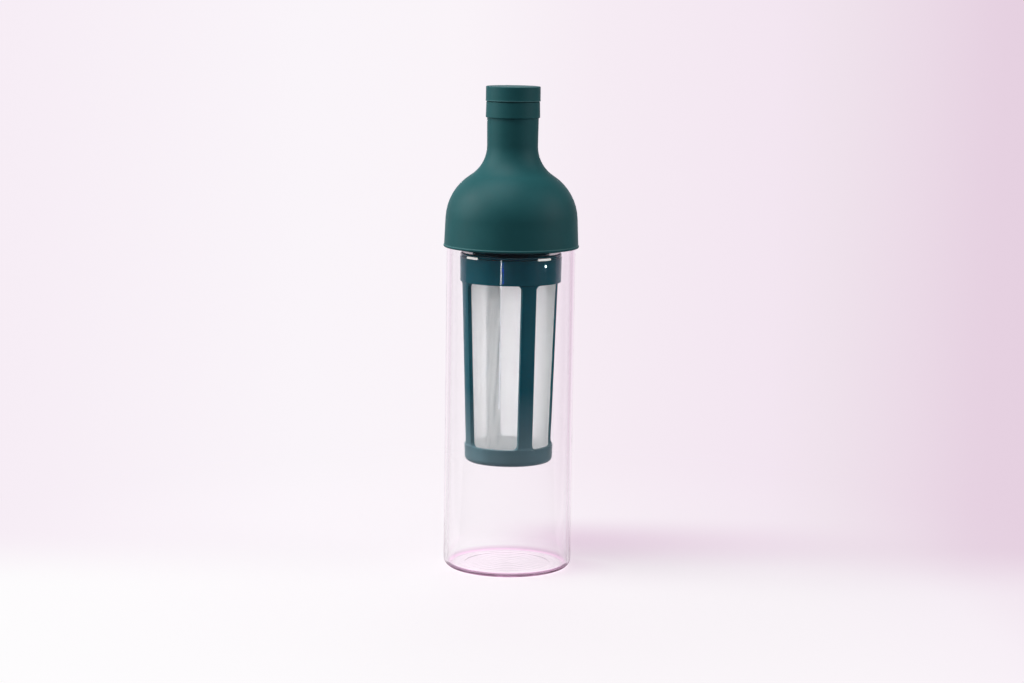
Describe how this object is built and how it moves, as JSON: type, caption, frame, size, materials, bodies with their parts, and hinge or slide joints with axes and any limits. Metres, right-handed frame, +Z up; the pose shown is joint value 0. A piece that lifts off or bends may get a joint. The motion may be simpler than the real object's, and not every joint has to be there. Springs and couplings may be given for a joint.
{
  "type": "cold brew coffee maker",
  "caption": "Glass bottle with a bottle-shaped rubber neck and stopper, and a tapered mesh strainer hanging from the neck inside the glass.",
  "frame": {"origin": "centre of the foot of the glass, on the surface that it stands on", "axes": "+Z up along the bottle's axis; -Y is the front, the side that faces the viewer"},
  "size_m": [0.0838, 0.0838, 0.3],
  "materials": {
    "borosilicate_glass": "clear, fire-polished",
    "green_silicone": "matte, moulded",
    "green_polypropylene": "satin, injection moulded",
    "natural_polypropylene": "satin, milky",
    "polyester_mesh": "fine plain weave"
  },
  "bodies": {
    "bottle": {"glass_body": "borosilicate_glass"},
    "neck": {"neck_sleeve": "green_silicone"},
    "stopper": {"stopper": "green_silicone"},
    "head": {"strainer_head": "green_polypropylene"},
    "basket": {"strainer_frame": "green_polypropylene", "mesh_hoop": "natural_polypropylene", "mesh_sleeve": "polyester_mesh", "mesh_base": "polyester_mesh"}
  },
  "joints": [
    {"name": "neck_lift", "type": "slide", "parent": "bottle", "child": "neck", "axis": [0, 0, 1], "range_m": [0, 0.165]},
    {"name": "stopper_pull", "type": "slide", "parent": "neck", "child": "stopper", "axis": [0, 0, 1], "range_m": [0, 0.04]},
    {"name": "head_pull", "type": "slide", "parent": "neck", "child": "head", "axis": [0, 0, -1], "range_m": [0, 0.03]},
    {"name": "basket_pull", "type": "slide", "parent": "head", "child": "basket", "axis": [0, 0, -1], "range_m": [0, 0.03]}
  ]
}
